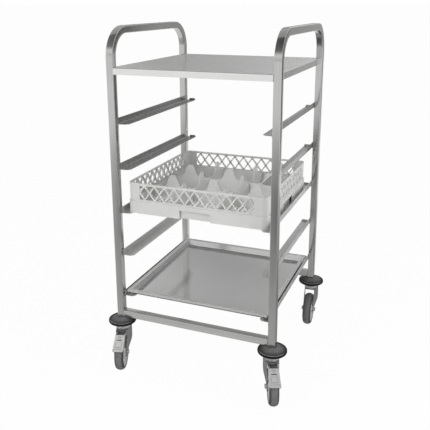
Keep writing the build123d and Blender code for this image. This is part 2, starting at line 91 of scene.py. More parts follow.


# What every surface of the trolley shares: a tint between two colours, roughness and fine relief that each
# follow a pattern, and one shader. A band is a stripe of another shade on a turned piece; the bands here hold
# dust, painted sheen, a painted highlight and painted shade, each thinned here and there by noise; each of
# its limits is an axis of the UV map, a middle, a half width and a soft edge, so it can follow the section or
# end part of the way round.
def closeSurface(tree, look, shade, sheen, grain, settings, spread=noiseRange, reliefMm=0.2, bands=()):
    dark, light = (linearColour(tint) for tint in look["tints"])
    tint = addNode(tree, "Mix", {"data_type": "RGBA", 6: dark, 7: light}, {0: shade})
    for band in bands:
        place = addNode(tree, "TexCoord")
        section = addNode(tree, "SeparateXYZ", links={0: place.outputs["UV"]})
        inside = addNode(tree, "MapRange", {**noiseRange, "To Min": leastBand}, {"Value": shade})
        for axis, middle, half, edge in band["limits"]:
            offset = addNode(tree, "Math", {"operation": "SUBTRACT", 1: middle}, {0: section.outputs[axis]})
            away = addNode(tree, "Math", {"operation": "ABSOLUTE"}, {0: offset})
            within = addNode(tree, "MapRange", {
                "interpolation_type": "SMOOTHSTEP", "From Min": half + edge, "From Max": half},
                {"Value": away})
            inside = addNode(tree, "Math", {"operation": "MULTIPLY"}, {0: inside, 1: within})
        tint = addNode(tree, "Mix", {"data_type": "RGBA", 7: linearColour(band["colour"])},
                       {0: inside, 6: tint.outputs[2]})
    smooth, rough = look["rough"]
    gloss = addNode(tree, "MapRange", {**spread, "To Min": smooth, "To Max": rough}, {"Value": sheen})
    relief = addNode(tree, "Bump", {"Strength": look["bump"], "Distance": reliefMm * mm}, {"Height": grain})
    shader = addNode(tree, "BsdfPrincipled", settings,
                     {"Base Color": tint.outputs[2], "Roughness": gloss, "Normal": relief})
    closeMaterial(tree, shader)
    return shader


linish = {"fineness": 5.0, "streakShare": 0.65, "cloudShare": 0.35}


# Stainless steel, linished: long fine scratches along one direction, soft stretched reflections.
# The real grit line is about 0.1 mm wide, too fine to show, so the streaks are drawn a few millimetres wide.
def stainlessSteel(name, look):
    material, tree = newMaterial(name)
    place = addNode(tree, "TexCoord")
    along = place.outputs[look["follows"]]
    perGrain = 1.0 / (np.array(look["grainMm"]) * mm)
    streak, fine = (
        addNode(tree, "TexNoise", {"Scale": 1.0, "Detail": detail, "Roughness": rough}, {
            "Vector": addNode(tree, "Mapping", {"Scale": (times * perGrain).tolist()}, {"Vector": along})})
        for times, detail, rough in ((1.0, 3.0, 0.6), (linish["fineness"], 2.0, 0.5)))
    cloud = addNode(tree, "TexNoise", {"Scale": 1.0 / (look["cloudMm"] * mm), "Detail": 2.0},
                    {"Vector": place.outputs["Object"]})
    drift = addNode(tree, "Math", {"operation": "MULTIPLY", 1: linish["cloudShare"]}, {0: cloud})
    shade = addNode(tree, "Math", {"operation": "MULTIPLY_ADD", 1: linish["streakShare"]},
                    {0: streak, 2: drift})
    shader = closeSurface(tree, look, shade, fine, fine, {"Metallic": look.get("metal", 1.0)})
    if "dullAbove" in look:  # drawn walls, rubbed duller than the floor: less metal above this height
        height = addNode(tree, "SeparateXYZ", links={"Vector": place.outputs["Object"]})
        wall = addNode(tree, "MapRange", {
            "From Min": look["dullAbove"], "From Max": look["dullAbove"] + look["dullOver"], "To Min": 1.0,
            "To Max": look["dullMetal"]}, {"Value": height.outputs["Z"]})
        tree.links.new(wall.outputs[0], shader.inputs["Metallic"])
    return material


tubeGrain = {"follows": "UV", "grainMm": (160.0, 2.2, 50.0), "cloudMm": 120.0, "bump": 0.05}
railGrain = {"follows": "Object", "grainMm": (2.2, 160.0, 2.2), "cloudMm": 110.0, "bump": 0.08}
tubeSteel = stainlessSteel("stainless steel tube, linished lengthwise", {
    **tubeGrain, "tints": ("#a6a6a5", "#d2d2d0"), "rough": (0.10, 0.17)})
# A copy of the tube steel, painted brighter for the light that the front cross tube reflects.
brightPaintedTubeSteel = stainlessSteel("stainless steel tube, linished lengthwise, painted brighter", {
    **tubeGrain, "tints": ("#c6c6c5", "#e6e6e4"), "rough": (0.14, 0.22)})
# Two copies of the rails' steel: rails 4 and 5 painted darker, rails 1 to 3 painted lighter, for the light.
darkerPaintedRailSteel = stainlessSteel("stainless steel sheet, folded, satin along the rails", {
    **railGrain, "tints": ("#929292", "#bcbcbb"), "rough": (0.20, 0.30)})
lighterPaintedRailSteel = stainlessSteel("stainless steel sheet, folded, dulled by sliding racks", {
    **railGrain, "tints": ("#bebebe", "#dededd"), "rough": (0.24, 0.36), "metal": 0.6})
shelfSteel = stainlessSteel("stainless steel sheet, folded, satin across the shelf", {
    "follows": "Object", "grainMm": (170.0, 2.4, 2.4), "cloudMm": 160.0, "tints": ("#dadad9", "#ededec"),
    "rough": (0.20, 0.30), "bump": 0.06})
traySteel = stainlessSteel("stainless steel sheet, drawn tray, cold rolled", {
    "follows": "Object", "grainMm": (3.0, 190.0, 3.0), "cloudMm": 150.0, "tints": ("#cbcbcb", "#dededd"),
    "rough": (0.10, 0.16), "bump": 0.02, "dullAbove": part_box("drip_tray")[0][2] + 2.5 * mm,
    "dullOver": 2.0 * mm, "dullMetal": 0.6})


# Zinc plated pressed steel: neutral grey, with a fine crystalline mottle and a chalky passivated skin that
# takes the light evenly, so most of it is only half metal to the eye.
def zincPlate(name, look):
    material, tree = newMaterial(name)
    place = addNode(tree, "TexCoord")
    mottle = addNode(tree, "TexNoise", {"Scale": 1.0 / (look["mottleMm"] * mm), "Detail": 3.0},
                     {"Vector": place.outputs["Object"]})
    spangle = addNode(tree, "TexVoronoi", {"Scale": 1.0 / (look["spangleMm"] * mm)},
                      {"Vector": place.outputs["Object"]})
    closeSurface(tree, look, mottle, spangle.outputs["Distance"], mottle, {"Metallic": look["metal"]},
                 spread={})
    return material


zincSkin = {"spangleMm": 2.5, "bump": 0.08}
# Copies of one zinc plate: the fork and the pedals' eyes, shoes and webs painted darker for their shaded
# sides, the pedals' plates painted lighter for their lit tops.
zincSteel = zincPlate("zinc plated steel, pressed", {
    **zincSkin, "mottleMm": 9.0, "tints": ("#b2b2b2", "#d2d2d1"), "rough": (0.36, 0.52), "metal": 0.5})
darkerPaintedZinc = zincPlate("zinc plated steel, folded, dull, painted darker", {
    **zincSkin, "mottleMm": 11.0, "tints": ("#707070", "#949494"), "rough": (0.30, 0.46), "metal": 0.6})
lighterPaintedZinc = zincPlate("zinc plated steel, pressed, bright, painted lighter", {
    **zincSkin, "mottleMm": 7.0, "tints": ("#c6c6c6", "#e4e4e3"), "rough": (0.26, 0.36), "metal": 1.0})


# Moulded plastic and rubber: an even colour with slow cloudy drift, a fine moulded grain and a soft sheen.
def mouldedPolymer(name, look, bands=()):
    material, tree = newMaterial(name)
    place = addNode(tree, "TexCoord")
    cloud, grain = (addNode(tree, "TexNoise", {"Scale": 1.0 / (look[size] * mm), "Detail": detail},
                            {"Vector": place.outputs["Object"]})
                    for size, detail in (("cloudMm", 3.0), ("grainMm", 2.0)))
    closeSurface(tree, look, cloud, grain, grain,
                 {"IOR": look["ior"], "Specular IOR Level": look.get("sheen", 0.5)},
                 reliefMm=0.3, bands=bands)
    return material


polypropylene = {"bump": 0.06, "ior": 1.49}
rackPlastic = mouldedPolymer("polypropylene, moulded, off-white", {
    **polypropylene, "cloudMm": 60.0, "grainMm": 1.6, "tints": ("#d4d4d2", "#e2e2e0"),
    "rough": (0.38, 0.52)})
# The thin plates are painted a little lighter than the rack's own plastic, for the light that shines through
# them.
lighterPaintedDividerPlastic = mouldedPolymer("polypropylene, thin moulded plates", {
    **polypropylene, "cloudMm": 40.0, "grainMm": 1.6, "tints": ("#dcdcdb", "#eaeae8"),
    "rough": (0.35, 0.48)})
hubPlastic = mouldedPolymer("polypropylene, moulded, light grey", {
    **polypropylene, "cloudMm": 30.0, "grainMm": 1.4, "tints": ("#b2b2b2", "#c8c8c7"),
    "rough": (0.36, 0.50)})
plugNylon = mouldedPolymer("nylon, moulded, natural", {
    "cloudMm": 20.0, "grainMm": 1.2, "tints": ("#c8c7c0", "#dad9d2"), "rough": (0.40, 0.55),
    "bump": 0.08, "ior": 1.53})
print("materials made:", len(bpy.data.materials))


def asPoints(*axes):  # coordinates, spread to one shape
    return np.stack(np.broadcast_arrays(*axes), -1)


def unit(vectors):  # scaled to length 1
    return vectors / np.linalg.norm(vectors, axis=-1, keepdims=True)


def circle(steps):  # equal angles, once round
    return np.linspace(0.0, 2 * np.pi, steps, endpoint=False)


def runLength(points, closed=False):  # distance along a row of points, from 0
    steps = np.linalg.norm(np.diff(points, axis=0), axis=1)
    if closed:
        steps = np.append(steps, np.linalg.norm(points[0] - points[-1]))
    return np.concatenate([[0.0], np.cumsum(steps)])


# Rectangle with rounded corners: four quarter circles joined by flats, going round it.
def roundedSection(width, depth, corner, steps):
    quarter = np.repeat(np.arange(4), steps)
    angle = (quarter + np.tile(np.linspace(0.0, 1.0, steps), 4)) * np.pi / 2
    middle = (quarter + 0.5) * np.pi / 2
    return asPoints((width / 2 - corner) * np.sign(np.cos(middle)) + corner * np.cos(angle),
                    (depth / 2 - corner) * np.sign(np.sin(middle)) + corner * np.sin(angle))


def newMesh(name, points, faces):
    mesh = bpy.data.meshes.new(name)
    mesh.from_pydata(np.reshape(points, (-1, 3)).tolist(), [], faces)
    return mesh


def newObject(name, data):  # an object that is in the scene
    made = bpy.data.objects.new(name, data)
    scene.collection.objects.link(made)
    return made


def finishPiece(name, mesh, material, sharp, join=0.0):
    work = bmesh.new()
    work.from_mesh(mesh)
    if join:  # points closer than this become one
        bmesh.ops.remove_doubles(work, verts=work.verts, dist=join)
    bmesh.ops.recalc_face_normals(work, faces=work.faces)
    work.to_mesh(mesh)
    work.free()
    mesh.polygons.foreach_set("use_smooth", np.ones(len(mesh.polygons), dtype=bool))
    mesh.set_sharp_from_angle(angle=np.radians(sharp))
    mesh.materials.append(material)
    piece = newObject(name, mesh)
    return piece


# Quads between the points of a grid: each one's corners by row and column, and by index.
def gridQuads(rows, columns, wrapRows=False, wrapColumns=True):
    i, j = np.meshgrid(np.arange(rows if wrapRows else rows - 1),
                       np.arange(columns if wrapColumns else columns - 1), indexing="ij")
    corners = np.stack([asPoints(i, j), asPoints(i, j + 1), asPoints(i + 1, j + 1), asPoints(i + 1, j)], 2)
    corners = corners.reshape(-1, 4, 2)
    return corners, corners[..., 0] % rows * columns + corners[..., 1] % columns


def repeatFaces(quads, count, points):  # the same quads for each of several shapes with as many points
    return (quads[None] + points * np.arange(count)[:, None, None]).reshape(-1, 4).tolist()


# A grid of points, rows by columns, becomes one mesh. Columns join their ends, so do wrapped rows,
# and open row ends can be capped. Each corner's UV is its place along the row and the column.
# A hole is given by its rows and columns; it goes through a sheet whose section holds both faces, one after
# the other.
def gridPiece(name, points, uvRows, uvColumns, material, sharp=40.0, wrapRows=False, capEnds=False,
              hole=None):
    rows, columns = points.shape[:2]
    corners, quads = gridQuads(rows, columns, wrapRows)
    uv = asPoints(uvRows[corners[..., 0]], uvColumns[corners[..., 1]])
    if hole:
        top, bottom, left, right = hole
        row, column = corners[:, 0, 0], corners[:, 0, 1]
        column = np.minimum(column, columns - 2 - column)
        kept = ~((row >= top) & (row < bottom) & (column >= left) & (column < right))
        wide, tall = np.ones(right - left, int), np.ones(bottom - top, int)
        loopRow = np.concatenate([top * wide, np.arange(top, bottom), bottom * wide,
                                  np.arange(bottom, top, -1)])
        loopColumn = np.concatenate([np.arange(left, right), right * tall, np.arange(right, left, -1),
                                     left * tall])
        face, back = loopRow * columns + loopColumn, loopRow * columns + columns - 1 - loopColumn
        walls = np.stack([face, np.roll(face, -1), np.roll(back, -1), back], -1)
        quads = np.concatenate([quads[kept], walls])
        uv = np.concatenate([uv[kept], np.zeros((len(walls), 4, 2))])
    uv = uv.reshape(-1, 2)
    faces = quads.tolist()
    if capEnds:
        faces += [list(range(columns))[::-1], list(range((rows - 1) * columns, rows * columns))]
        uv = np.concatenate([uv, np.zeros((2 * columns, 2))])
    mesh = newMesh(name, points, faces)
    mesh.uv_layers.new(name="surface").data.foreach_set("uv", uv.astype(np.float32).ravel())
    return finishPiece(name, mesh, material, sharp)


tubeLook = {"side": 0.025, "corner": 0.0026, "cornerSteps": 6, "bend": 0.0875, "bendSteps": 22,
            "postSteps": 12, "barSteps": 8, "crossSteps": 10, "foot": 0.1836, "top": 1.1875,
            "crossZ": 0.1991}
tubeHalf = tubeLook["side"] / 2
innerX = post - tubeHalf  # inner faces of the posts
tubeSection = roundedSection(tubeLook["side"], tubeLook["side"], tubeLook["corner"], tubeLook["cornerSteps"])


# Side frame: the section carried up one post, round a quarter circle, along the handle and down again.
# Each station has a centre in Y and Z and an outward normal; a point is centre + across * X + out * normal.
def sideFrame(name, x, node):
    look = tubeLook
    turn = np.linspace(0.0, np.pi / 2, look["bendSteps"])
    rise, run = look["bend"] * np.sin(turn), look["bend"] * np.cos(turn)
    low, reach = look["top"] - look["bend"], post - look["bend"]
    climb = np.linspace(look["foot"], low, look["postSteps"])[:-1]
    bar = np.linspace(-reach, reach, look["barSteps"])[1:-1]
    y = np.concatenate([np.full_like(climb, -post), -reach - run, bar, reach + rise,
                        np.full_like(climb, post)])
    z = np.concatenate([climb, low + rise, np.full_like(bar, look["top"]), low + run, climb[::-1]])
    lean = np.concatenate([np.zeros_like(climb), turn, np.full_like(bar, np.pi / 2), np.pi / 2 + turn,
                           np.full_like(climb, np.pi)])
    across, out = tubeSection.T
    points = asPoints(x + across, y[:, None] - out * np.cos(lean)[:, None],
                      z[:, None] + out * np.sin(lean)[:, None])
    piece = gridPiece(name, points, runLength(asPoints(y, z)), runLength(tubeSection, True), tubeSteel,
                      capEnds=True)
    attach(piece, "frame")
    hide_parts(node)


sideFrame("leftTubeFrame", -post, "left_side_frame")
sideFrame("rightTubeFrame", post, "right_side_frame")


# Cross tube: the same section carried straight across, between the inner faces of the posts.
def crossTube(name, y, node, finish):
    x = np.linspace(-innerX, innerX, tubeLook["crossSteps"])
    across, out = tubeSection.T
    piece = gridPiece(name, asPoints(x[:, None], y + across, tubeLook["crossZ"] + out), x - x[0],
                      runLength(tubeSection, True), finish, capEnds=True)
    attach(piece, "frame")
    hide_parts(node)


crossTube("frontTube", -post, "front_cross_tube", brightPaintedTubeSteel)
crossTube("rearTube", post, "rear_cross_tube", tubeSteel)
print("tubes made")

weldLook = {"radius": 0.0017, "ripple": 0.22, "rippleMm": 2.6, "steps": 40, "around": 10, "half": 0.0115,
            "proud": 0.0006, "firstRail": 0.264, "railPitch": 0.155, "rails": 5, "onRail": (0.0200, -0.0012),
            "railEnd": 0.2848, "shelfZ": 1.0695, "shelfProud": 0.0004, "notchX": 0.2805, "notchY": 0.0095,
            "steep": 0.9, "tip": 1e-6}
# Weld bead, ground lightly: duller and rougher than the tube beside it.
weldSteel = stainlessSteel("stainless steel weld, lightly ground", {
    "follows": "Object", "grainMm": (4.0, 4.0, 4.0), "cloudMm": 12.0, "tints": ("#b4b4b3", "#d4d4d2"),
    "rough": (0.30, 0.46), "bump": 0.22})


# Weld beads: each is a thin round run from start to end whose radius swells at every ripple and closes at
# both ends.
# radius(s) = full radius * end taper * (1 - ripple * |sin(pi * distance / ripple length)|)
def weldBeads(name, starts, ends):
    look = weldLook
    along = np.linspace(0.0, 1.0, look["steps"])
    around = circle(look["around"])[None, :, None]
    run = ends - starts
    length = np.linalg.norm(run, axis=1, keepdims=True)
    ahead = run / length
    vertical = np.abs(ahead[:, 2:3]) > look["steep"]
    sideA = unit(np.cross(ahead, np.where(vertical, (1.0, 0.0, 0.0), (0.0, 0.0, 1.0))))
    sideB = np.cross(ahead, sideA)
    taper = np.clip(np.minimum(along, 1 - along) * length / look["radius"], 0.0, 1.0)
    wave = np.abs(np.sin(np.pi * along * length / (look["rippleMm"] * mm)))
    radius = look["radius"] * np.sqrt(1 - (1 - taper) ** 2) * (1 - look["ripple"] * wave)
    ring = np.cos(around) * sideA[:, None] + np.sin(around) * sideB[:, None]
    middle = starts[:, None] + along[None, :, None] * run[:, None]
    points = middle[:, :, None] + radius[:, :, None, None] * ring[:, None]
    count, rows, columns = points.shape[:3]
    mesh = newMesh(name, points, repeatFaces(gridQuads(rows, columns)[1], count, rows * columns))
    piece = finishPiece(name, mesh, weldSteel, sharp=60.0, join=look["tip"])
    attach(piece, "frame")


# Where the beads run: along both edges of each rail where it meets a post, round the ends of the cross tubes,
# and on top of the shelf along two sides of each notch.
def weldPlaces():
    look = weldLook
    half, proud, top, crossZ = look["half"], look["shelfProud"], look["shelfZ"], tubeLook["crossZ"]
    beads = []
    for side in (-1, 1):
        wall = side * innerX
        face = wall - side * look["proud"]
        for rail in range(look["rails"]):
            for y in (-post, post):
                for rise in look["onRail"]:
                    z = look["firstRail"] + look["railPitch"] * rail + rise
                    beads.append([(face, y - half, z), (face, y + min(half, look["railEnd"] - y), z)])
        for y, outward in ((-post, -1), (post, 1)):
            for z in (crossZ + tubeHalf, crossZ - tubeHalf):
                beads.append([(face, y - half, z), (face, y + half, z)])
            for edge in (y + tubeHalf, y - tubeHalf):
                beads.append([(face, edge, crossZ - half), (face, edge, crossZ + half)])
            inner = y - outward * tubeHalf
            lineX, lineY = wall - side * proud, inner - outward * proud
            beads.append([(wall, lineY, top), (side * look["notchX"], lineY, top)])
            beads.append([(lineX, inner, top), (lineX, y + outward * look["notchY"], top)])
    return np.array(beads)


beads = weldPlaces()
weldBeads("weldRuns", beads[:, 0], beads[:, 1])
print("welds made:", len(beads))


def castorPoint(corner, across, back, up):  # the castor's own axes to the trolley's
    turn = np.radians(castors[corner]["turn"])
    x, y = castors[corner]["at"]
    return asPoints(x + across * np.cos(turn) - back * np.sin(turn),
                    y + across * np.sin(turn) + back * np.cos(turn), up)


# Ring: a closed profile of (across, radius) turned about an axle that lies across the castor.
# A point is (across, axle back - radius * cos(angle), axle up + radius * sin(angle)) on the castor's axes.
def axleRing(name, corner, profile, axle, steps, girth, material, sharp):
    angle = circle(steps)[:, None]
    across, radius = profile.T
    points = castorPoint(corner, across, axle[0] - radius * np.cos(angle), axle[1] + radius * np.sin(angle))
    return gridPiece(name, points, np.append(angle, 2 * np.pi) * girth, runLength(profile, True), material,
                     sharp, wrapRows=True)


wheelLook = {"radius": 0.0625, "trail": 0.042, "steps": 96}
axleAt = np.array((-wheelLook["trail"], wheelLook["radius"]))  # back and up, on the castor's axes


def wheelRing(name, corner, profile, material, node, sharp):
    piece = axleRing(name, corner, profile, axleAt, wheelLook["steps"], wheelLook["radius"], material,
                     sharp)
    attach(piece, castors[corner]["word"] + "_wheel")
    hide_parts(node)


tyreLook = {"half": 0.016, "bore": 0.05005, "chamfer": 0.0008, "shoulder": 0.0510, "crown": 0.0625,
            "steps": 48, "tread": 0.0075, "treadEdge": 0.007}


# Tyre section: half an ellipse from shoulder to shoulder over flat sides.
# across = half * sin, radius = shoulder + (crown - shoulder) * cos
def tyreProfile():
    look = tyreLook
    half, bore, chamfer, shoulder = (look[key] for key in ("half", "bore", "chamfer", "shoulder"))
    angle = np.linspace(-np.pi / 2, np.pi / 2, look["steps"])
    arch = asPoints(half * np.sin(angle), shoulder + (look["crown"] - shoulder) * np.cos(angle))
    return np.concatenate([[(-half + chamfer, bore), (-half, bore + chamfer)], arch,
                           [(half, bore + chamfer), (half - chamfer, bore)]])


hubLook = {"bore": 0.0066, "boss": 0.018, "bossHalf": 0.0174, "web": 0.0118, "rimHalf": 0.0145,
           "rimIn": 0.043, "radius": 0.0500, "round": 0.0012}


# Hub section: half of it, from the bore out over the boss, down into a shallow dish and up to the rim, then
# mirrored. Its corners are rounded by shares of one radius.
def hubProfile():
    bore, boss, top, web, rim, dish, outer, r = (
        hubLook[key] for key in ("bore", "boss", "bossHalf", "web", "rimHalf", "rimIn", "radius", "round"))
    half = np.array([
        (top - r / 2, bore), (top, bore + r / 2), (top, boss - r), (top - 0.3 * r, boss - 0.3 * r),
        (top - r, boss), (web + r, boss + r), (web, boss + 3 * r), (web, dish - 2 * r),
        (web + 0.4 * r, dish - 0.6 * r), (rim - 0.5 * r, dish + 0.3 * r), (rim, dish + r),
        (rim, outer - 0.4 * r), (rim - 0.4 * r, outer)])
    return np.concatenate([half, half[::-1] * (-1.0, 1.0)])


# Non-marking rubber: dull grey, with painted light along the tread and painted shade on the shoulders,
# where the light falls off round the sides.
treadBandShoulderShade = (1, runLength(tyreProfile())[-1] / 2, tyreLook["tread"], tyreLook["treadEdge"])
tyreRubber = mouldedPolymer("thermoplastic rubber, moulded, non-marking grey", {
    "cloudMm": 9.0, "grainMm": 0.9, "tints": ("#343434", "#454545"), "rough": (0.55, 0.72),
    "bump": 0.18, "ior": 1.50}, [{"limits": [treadBandShoulderShade], "colour": "#747473"}])
for corner in castors:
    wheelRing(corner + "TyreRing", corner, tyreProfile(), tyreRubber, corner + "_tyre", 50.0)
    wheelRing(corner + "HubDish", corner, hubProfile(), hubPlastic, corner + "_hub", 38.0)
print("wheels made")

# Last four entries: the dust and painted sheen band, the bead's painted highlight, and that highlight's arc.
bumperLook = {"hole": 0.00605, "hub": 0.020, "low": 0.1516, "foot": 0.1836, "rim": 0.049, "rimTop": 0.1736,
              "rimUnder": 0.1644, "beadAt": 0.0452, "bead": 0.0012, "round": (0.0014, 0.0030), "sag": 0.0012,
              "lip": [(-0.0030, 0.0), (-0.0034, 0.0030)], "neck": [(0.0010, 0.0032), (0.0, 0.0020)],
              "topSteps": 10, "beadSteps": 9, "edgeSteps": 13, "steps": 96,
              "dustAndSheen": (0.016, 0.032), "shine": (0.0009, 0.0010), "paintedHighlightAt": 4.89, "rubbed": (0.034, 0.034)}


# Bumper section of (radius, height): its top sinks in a shallow curve from the hub to the bead, the bead is
# half a circle just inside the rim, the rim is a half ellipse at top and bottom, and the underside is hollow
# round the hub, from the lip's two points inside the rim to the two at the hub's neck.
def bumperProfile():
    look = bumperLook
    hub, rim, bead, under = look["hub"], look["rim"], look["bead"], look["rimUnder"]
    seat = look["rimTop"] - bead
    slope = np.linspace(0.0, 1.0, look["topSteps"])
    topRadius = hub + slope * (look["beadAt"] - bead - hub)
    topHeight = look["foot"] + slope * (seat - look["foot"]) - look["sag"] * np.sin(np.pi * slope)
    turn = np.linspace(np.pi, 0.0, look["beadSteps"])
    edge = np.linspace(np.pi / 2, -np.pi / 2, look["edgeSteps"])
    reach, drop = look["round"]
    edgeMiddle = np.where(edge > 0, seat - drop, under + drop)
    return np.concatenate([
        [(look["hole"], look["foot"])], asPoints(topRadius, topHeight),
        asPoints(look["beadAt"] + bead * np.cos(turn), seat + bead * np.sin(turn)),
        asPoints(rim - reach + reach * np.cos(edge), edgeMiddle + drop * np.sin(edge)),
        np.array(look["lip"]) + (rim, under), np.array(look["neck"]) + (hub, under),
        [(hub, look["low"]), (look["hole"], look["low"])]])


def bumperSaucer(corner):  # the section turned about the post
    profile = bumperProfile()
    angle = circle(bumperLook["steps"])[:, None]
    x, y = castors[corner]["at"]
    radius, height = profile.T
    points = asPoints(x + np.cos(angle) * radius, y + np.sin(angle) * radius, height)
    piece = gridPiece(corner + "BumperSaucer", points, np.append(angle, 2 * np.pi) * bumperLook["rim"],
                      runLength(profile, True), bumperRubber, sharp=50.0, wrapRows=True)
    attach(piece, "frame")
    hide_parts(corner + "_bumper")


# Bumper rubber: black at its rim, greyed towards the post by dust and by painted sheen on its top, with a
# bead just inside the rim that carries a painted highlight on its front side.
beadRun = runLength(bumperProfile())[1 + bumperLook["topSteps"] + bumperLook["beadSteps"] // 2]
paintedHighlightArc = (0, bumperLook["paintedHighlightAt"] * bumperLook["rim"], *bumperLook["rubbed"])
bumperRubber = mouldedPolymer("rubber, moulded, black", {
    "cloudMm": 16.0, "grainMm": 1.1, "tints": ("#0c0c0c", "#161616"), "rough": (0.48, 0.62),
    "bump": 0.12, "ior": 1.52, "sheen": 0.25}, [
        {"limits": [(1, 0.0, *bumperLook["dustAndSheen"])], "colour": "#767676"},
        {"limits": [(1, beadRun, *bumperLook["shine"]), paintedHighlightArc], "colour": "#a8a8a8"}])
for corner in castors:
    bumperSaucer(corner)
print("bumpers made")

pedalLook = {"path": [(-0.0200, 0.1310), (-0.0525, 0.1353), (-0.1000, 0.1070), (-0.1100, 0.1033)],
             "half": [0.0164, 0.0172, 0.0196, 0.0186], "cheek": [0.0110, 0.0110, 0.0048, 0.0024],
             "face": 0.00125, "spacing": 0.0006, "round": 9, "sheet": 0.0016, "edge": 0.0024,
             "edgeShare": 0.8, "leastEdge": 0.0002, "edgeSteps": 6, "plateSteps": 64, "overlap": 0.0026,
             "arm": 14, "webLap": 5, "webDrop": 0.0024,
             "louver": {"from": 0.0072, "to": 0.0208, "half": 0.0106, "rise": 0.0024, "drop": 0.0006},
             "slot": {"from": 0.0208, "to": 0.0233, "half": 0.0098},
             "panel": {"from": 0.0298, "to": 0.0488, "half": 0.0102, "rise": 0.0010, "edge": 0.0008,
                       "moat": 0.0020, "deep": 0.0013},
             "groove": {"at": 0.0550, "half": 0.0016, "deep": 0.0016},
             "step": {"from": 0.0544, "edge": 0.0008, "deep": 0.0020}}


def plateau(distance, edge):  # 0 outside, 1 inside, rising over one edge width
    return np.clip(distance / edge, 0.0, 1.0)


# Relief pressed into the pedal's plate: a louver that climbs under a half ellipse to a slot cut through the
# sheet, a raised panel in a shallow moat, and a step and groove along the fold, each a function of the
# distance from the ridge and of the distance across.
def pedalRelief(fromRidge, across):
    louver, panel, groove, step = (pedalLook[key] for key in ("louver", "panel", "groove", "step"))
    climb = plateau(fromRidge - louver["from"], louver["to"] - louver["from"])
    fall = plateau(louver["to"] + louver["drop"] - fromRidge, louver["drop"])
    arch = np.sqrt(np.clip(1 - (across / louver["half"]) ** 2, 0.0, 1.0))
    inPanel = np.minimum(np.minimum(fromRidge - panel["from"], panel["to"] - fromRidge),
                         panel["half"] - np.abs(across))
    inMoat = plateau(inPanel + panel["moat"], panel["edge"])
    inGroove = np.clip(1 - np.abs(fromRidge - groove["at"]) / groove["half"], 0.0, 1.0)
    return (louver["rise"] * climb * fall * arch
            + (panel["rise"] + panel["deep"]) * plateau(inPanel, panel["edge"])
            - panel["deep"] * inMoat - groove["deep"] * inGroove
            - step["deep"] * plateau(fromRidge - step["from"], step["edge"]))


# Brake pedal: a sheet channel carried along pin, ridge, fold and lip, with rounded corners in the path.
# Behind the ridge only its two edges go on, as arms to the pin, with a web let in a little lower, in the
# darker zinc as painted shade under the crown.
# Its section goes up one cheek, round an edge, across the plate and down the other cheek; a point is
# path + out * normal, where out is the face, plus the relief on the plate, less the depth of the cheek.
def pedalShell(corner):
    look = pedalLook
    knots = np.array(look["path"])
    knotRun = runLength(knots)
    s = np.arange(0.0, knotRun[-1], look["spacing"])
    pad = look["round"] * look["spacing"]
    wide = np.arange(-pad, knotRun[-1] + pad, look["spacing"])
    route = np.concatenate([[2 * knots[0] - knots[1]], knots, [2 * knots[-1] - knots[-2]]])
    routeRun = runLength(route) - np.linalg.norm(knots[1] - knots[0])
    kernel = np.ones(look["round"]) / look["round"]
    smooth = [np.convolve(np.interp(wide, routeRun, axis), kernel, "same") for axis in route.T]
    path = np.stack([np.interp(s, wide, axis) for axis in smooth], -1)
    direction = unit(np.gradient(path, axis=0))
    normal = asPoints(direction[:, 1], -direction[:, 0])
    half = np.interp(s, knotRun, look["half"])[:, None]
    cheek = np.interp(s, knotRun, look["cheek"])[:, None]
    edge = np.minimum(look["edge"], look["edgeShare"] * cheek)
    turn = np.linspace(0.0, np.pi / 2, look["edgeSteps"])[None, :]
    flat = np.linspace(-1.0, 1.0, look["plateSteps"])[None, 1:-1]
    fromRidge = s[:, None] - knotRun[1]

    def section(inset):  # distance across and rise of the channel, inset by the sheet for its inner face
        radius = np.maximum(edge - inset, look["leastEdge"])
        side, top = half - inset, -inset
        arcAcross, arcOut = side - radius + radius * np.cos(turn), top - radius + radius * np.sin(turn)
        across = np.concatenate([-side, -arcAcross, flat * (side - radius), arcAcross[:, ::-1], side], 1)
        out = np.concatenate([-cheek, arcOut, top + 0 * flat * side, arcOut[:, ::-1], -cheek], 1)
        onPlate = plateau(half - look["edge"] - np.abs(across), look["edge"])
        return across, look["face"] + out + pedalRelief(fromRidge, across) * onPlate

    faces = section(0.0), section(look["sheet"])
    ridgeRow = int((knotRun[1] - look["overlap"]) / look["spacing"])
    slot, fromTop = look["slot"], fromRidge[ridgeRow:, 0]
    slotRows = np.flatnonzero((fromTop > slot["from"]) & (fromTop < slot["to"]))
    slotColumns = np.flatnonzero(np.abs(faces[0][0][slotRows[0] + ridgeRow]) < slot["half"])
    slotHole = slotRows[0], slotRows[-1], slotColumns[0], slotColumns[-1]
    arm, web = look["arm"], look["arm"] - look["webLap"]
    strips = {"PedalShell": (slice(ridgeRow, None), slice(None), 0.0, lighterPaintedZinc, slotHole),
              "PedalArmA": (slice(0, ridgeRow + 1), slice(0, arm), 0.0, lighterPaintedZinc, None),
              "PedalArmB": (slice(0, ridgeRow + 1), slice(-arm, None), 0.0, lighterPaintedZinc, None),
              "PedalShadeWeb": (slice(0, ridgeRow + 2), slice(web, -web), look["webDrop"], darkerPaintedZinc, None)}
    for name, (rows, columns, drop, finish, hole) in strips.items():
        outer, inner = (castorPoint(corner, across, path[:, :1] + (rise - drop) * normal[:, :1],
                                    path[:, 1:] + (rise - drop) * normal[:, 1:])[rows, columns]
                        for across, rise in faces)
        points = np.concatenate([outer, inner[:, ::-1]], 1)
        piece = gridPiece(corner + name, points, s[rows], np.arange(points.shape[1] + 1) * look["spacing"],
                          finish, sharp=35.0, capEnds=True, hole=hole)
        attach(piece, castors[corner]["word"] + "_brake")
        if name == "PedalShell":
            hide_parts(corner + "_brake_pedal")


eyeLook = {"bore": 0.00255, "outer": 0.0045, "half": 0.0150, "steps": 28}


